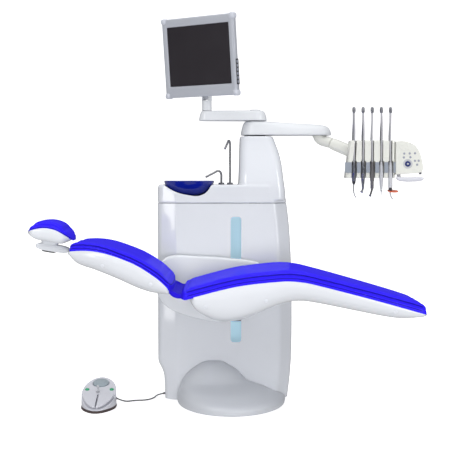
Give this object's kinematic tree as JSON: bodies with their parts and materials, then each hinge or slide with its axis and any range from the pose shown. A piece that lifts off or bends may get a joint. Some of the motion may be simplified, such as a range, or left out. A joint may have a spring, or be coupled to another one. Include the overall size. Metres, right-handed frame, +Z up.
{
  "type": "dental chair",
  "caption": "Dental treatment unit: reclining patient chair on a lifting column with spittoon, monitor arm, instrument delivery arm and wired foot control.",
  "frame": {"origin": "on the floor under the lift slot, half way through the column's depth", "axes": "+Z up, +X to the right seen from the front (towards the leg rest and delivery head), -Y to the front"},
  "size_m": [1.899, 1.041, 1.9427],
  "materials": {
    "white_shell": "gloss moulded cover",
    "column_shell": "gloss painted moulded cover",
    "base_grey": "satin moulded cover",
    "vinyl_blue": "glossy smooth upholstery vinyl",
    "ivory_plastic": "satin moulded plastic",
    "arm_grey": "satin paint",
    "holder_blue": "soft matte silicone",
    "steel_frame": "powder coat",
    "bright_steel": "machined",
    "chrome_tube": "polished",
    "bowl_glass": "cobalt glass",
    "liner_blue": "translucent strip",
    "monitor_silver": "metallic paint",
    "screen_black": "anti-glare glass",
    "grip_white": "smooth handpiece shell",
    "grip_steel": "knurled steel",
    "lilac_plastic": "satin moulded plastic",
    "rim_brown": "ribbed rubber",
    "button_green": "smooth",
    "cable_grey": "pvc jacket",
    "hose_grey": "silicone hose"
  },
  "bodies": {
    "base": {"base_plate": "steel_frame", "base_cover": "base_grey", "column_cover": "column_shell", "rear_panel": "column_shell", "column_frame": "steel_frame", "lift_motor": "bright_steel", "lift_screw": "bright_steel", "slot_liner": "liner_blue", "upper_cover": "column_shell", "tower_post": "bright_steel", "spittoon_bowl": "bowl_glass", "bowl_strainer": "bright_steel", "tap_collars": "chrome_tube", "foot_base": "rim_brown", "foot_cover": "lilac_plastic", "cable_glands": "cable_grey", "foot_cable": "cable_grey"},
    "bowl_rinse": {"bowl_rinse": "chrome_tube"},
    "cup_filler": {"cup_filler": "chrome_tube"},
    "chair": {"lift_carriage": "steel_frame", "side_shell": "white_shell", "seat_shell": "white_shell", "seat_cushion": "vinyl_blue", "seat_frame": "steel_frame", "recline_pin": "bright_steel"},
    "back": {"back_frame": "steel_frame", "back_shell": "white_shell", "back_cushion": "vinyl_blue"},
    "headrest_slide": {"headrest_bar": "bright_steel"},
    "headrest": {"headrest_shell": "white_shell", "headrest_cushion": "vinyl_blue"},
    "headrest_lever": {"headrest_lever": "steel_frame"},
    "monitor_arm": {"monitor_arm": "arm_grey"},
    "monitor_post": {"monitor_post": "arm_grey"},
    "monitor": {"monitor_housing": "monitor_silver", "monitor_screen": "screen_black"},
    "delivery_arm": {"delivery_arm": "arm_grey"},
    "elbow": {"elbow": "ivory_plastic"},
    "balance_arm": {"balance_arm": "ivory_plastic"},
    "head_pivot": {"head_pivot": "bright_steel"},
    "head": {"head_block": "ivory_plastic", "holder_pads": "holder_blue", "control_panel": "ivory_plastic", "head_handle": "lilac_plastic"},
    "whip_1": {"whip_arm_1": "hose_grey", "syringe": "grip_steel"},
    "whip_2": {"whip_arm_2": "hose_grey", "turbine": "grip_steel"},
    "whip_3": {"whip_arm_3": "hose_grey", "micromotor": "grip_white"},
    "whip_4": {"whip_arm_4": "hose_grey", "scaler": "grip_white"},
    "whip_5": {"whip_arm_5": "hose_grey", "curing_light": "grip_white"},
    "foot_dome": {"foot_dome": "lilac_plastic"},
    "foot_button_left": {"foot_button_left": "button_green"},
    "foot_button_right": {"foot_button_right": "button_green"},
    "foot_joystick": {"foot_joystick": "rim_brown"},
    "foot_pedal_left": {"foot_pedal_left": "lilac_plastic"},
    "foot_pedal_right": {"foot_pedal_right": "lilac_plastic"}
  },
  "joints": [
    {"name": "chair_lift", "type": "slide", "parent": "base", "child": "chair", "axis": [0, 0, 1], "range_m": [-0.13, 0.27]},
    {"name": "back_recline", "type": "hinge", "parent": "chair", "child": "back", "pos_m": [-0.262, -0.56, 0.575], "axis": [0, 1, 0], "range_deg": [-15, 45]},
    {"name": "headrest_extend", "type": "slide", "parent": "back", "child": "headrest_slide", "axis": [-0.9871, 0, 0.1599], "range_m": [0, 0.1]},
    {"name": "headrest_tilt", "type": "hinge", "parent": "headrest_slide", "child": "headrest", "pos_m": [-0.797, -0.56, 0.785], "axis": [0, 1, 0], "range_deg": [-30, 12]},
    {"name": "headrest_lever_press", "type": "hinge", "parent": "headrest", "child": "headrest_lever", "pos_m": [-0.85051, -0.56, 0.76733], "axis": [0, 1, 0], "range_deg": [-15, 0], "stiffness_Nm_per_rad": 0.05, "springref_deg": 2.86},
    {"name": "monitor_arm_swivel", "type": "hinge", "parent": "base", "child": "monitor_arm", "pos_m": [0.1, 0, 1.44], "axis": [0, 0, 1], "range_deg": [-60, 100]},
    {"name": "monitor_post_swivel", "type": "hinge", "parent": "monitor_arm", "child": "monitor_post", "pos_m": [-0.149, 0, 1.44], "axis": [0, 0, 1], "range_deg": [-90, 90]},
    {"name": "monitor_tilt", "type": "hinge", "parent": "monitor_post", "child": "monitor", "pos_m": [-0.149, 0, 1.536], "axis": [0.8387, -0.5446, 0], "range_deg": [-15, 10]},
    {"name": "delivery_arm_swivel", "type": "hinge", "parent": "base", "child": "delivery_arm", "pos_m": [0.1, 0, 1.37], "axis": [0, 0, 1], "range_deg": [-80, 20]},
    {"name": "elbow_swivel", "type": "hinge", "parent": "delivery_arm", "child": "elbow", "pos_m": [0.434, 0, 1.33], "axis": [0, 0, 1], "range_deg": [-60, 40]},
    {"name": "balance_arm_lift", "type": "hinge", "parent": "elbow", "child": "balance_arm", "pos_m": [0.488, -0.026, 1.302], "axis": [-0.436, -0.8999, 0], "range_deg": [-20, 20]},
    {"name": "head_level", "type": "hinge", "parent": "balance_arm", "child": "head_pivot", "pos_m": [0.623, -0.0914, 1.24], "axis": [-0.436, -0.8999, 0], "range_deg": [-20, 20]},
    {"name": "head_swivel", "type": "hinge", "parent": "head_pivot", "child": "head", "pos_m": [0.623, -0.0914, 1.17], "axis": [0, 0, 1], "range_deg": [-20, 20]},
    {"name": "whip_1_pull", "type": "hinge", "parent": "head", "child": "whip_1", "pos_m": [0.587, -0.178, 1.13], "axis": [1, 0, 0], "range_deg": [0, 25], "stiffness_Nm_per_rad": 0.6, "springref_deg": -68.75},
    {"name": "whip_2_pull", "type": "hinge", "parent": "head", "child": "whip_2", "pos_m": [0.6325, -0.178, 1.13], "axis": [1, 0, 0], "range_deg": [0, 25], "stiffness_Nm_per_rad": 0.6, "springref_deg": -68.75},
    {"name": "whip_3_pull", "type": "hinge", "parent": "head", "child": "whip_3", "pos_m": [0.678, -0.178, 1.13], "axis": [1, 0, 0], "range_deg": [0, 25], "stiffness_Nm_per_rad": 0.6, "springref_deg": -68.75},
    {"name": "whip_4_pull", "type": "hinge", "parent": "head", "child": "whip_4", "pos_m": [0.7235, -0.178, 1.13], "axis": [1, 0, 0], "range_deg": [0, 25], "stiffness_Nm_per_rad": 0.6, "springref_deg": -68.75},
    {"name": "whip_5_pull", "type": "hinge", "parent": "head", "child": "whip_5", "pos_m": [0.769, -0.178, 1.13], "axis": [1, 0, 0], "range_deg": [0, 25], "stiffness_Nm_per_rad": 0.6, "springref_deg": -68.75},
    {"name": "cup_filler_swivel", "type": "hinge", "parent": "base", "child": "cup_filler", "pos_m": [-0.029, 0, 1.09], "axis": [0, 0, 1], "range_deg": [-40, 40]},
    {"name": "bowl_rinse_swivel", "type": "hinge", "parent": "base", "child": "bowl_rinse", "pos_m": [-0.074, 0, 1.09], "axis": [0, 0, 1], "range_deg": [-30, 30]},
    {"name": "foot_dome_press", "type": "slide", "parent": "base", "child": "foot_dome", "axis": [0, 0.2924, -0.9563], "range_m": [0, 0.004], "stiffness_N_per_m": 400, "springref_m": -0.002},
    {"name": "foot_button_left_press", "type": "slide", "parent": "base", "child": "foot_button_left", "axis": [0, 0.2924, -0.9563], "range_m": [0, 0.003], "stiffness_N_per_m": 200, "springref_m": -0.002},
    {"name": "foot_button_right_press", "type": "slide", "parent": "base", "child": "foot_button_right", "axis": [0, 0.2924, -0.9563], "range_m": [0, 0.003], "stiffness_N_per_m": 200, "springref_m": -0.002},
    {"name": "foot_joystick_tilt", "type": "hinge", "parent": "base", "child": "foot_joystick", "pos_m": [-0.676, -0.34442, 0.06943], "axis": [0, 0.9563, 0.2924], "range_deg": [-12, 12], "stiffness_Nm_per_rad": 0.05},
    {"name": "foot_pedal_left_press", "type": "hinge", "parent": "base", "child": "foot_pedal_left", "pos_m": [-0.718, -0.37295, 0.06698], "axis": [1, 0, 0], "range_deg": [0, 4], "stiffness_Nm_per_rad": 8, "springref_deg": -2.86},
    {"name": "foot_pedal_right_press", "type": "hinge", "parent": "base", "child": "foot_pedal_right", "pos_m": [-0.626, -0.37295, 0.06698], "axis": [1, 0, 0], "range_deg": [0, 4], "stiffness_Nm_per_rad": 8, "springref_deg": -2.86}
  ],
  "couplings": [
    {"joint": "head_level", "follows": "balance_arm_lift", "ratio": -1}
  ]
}
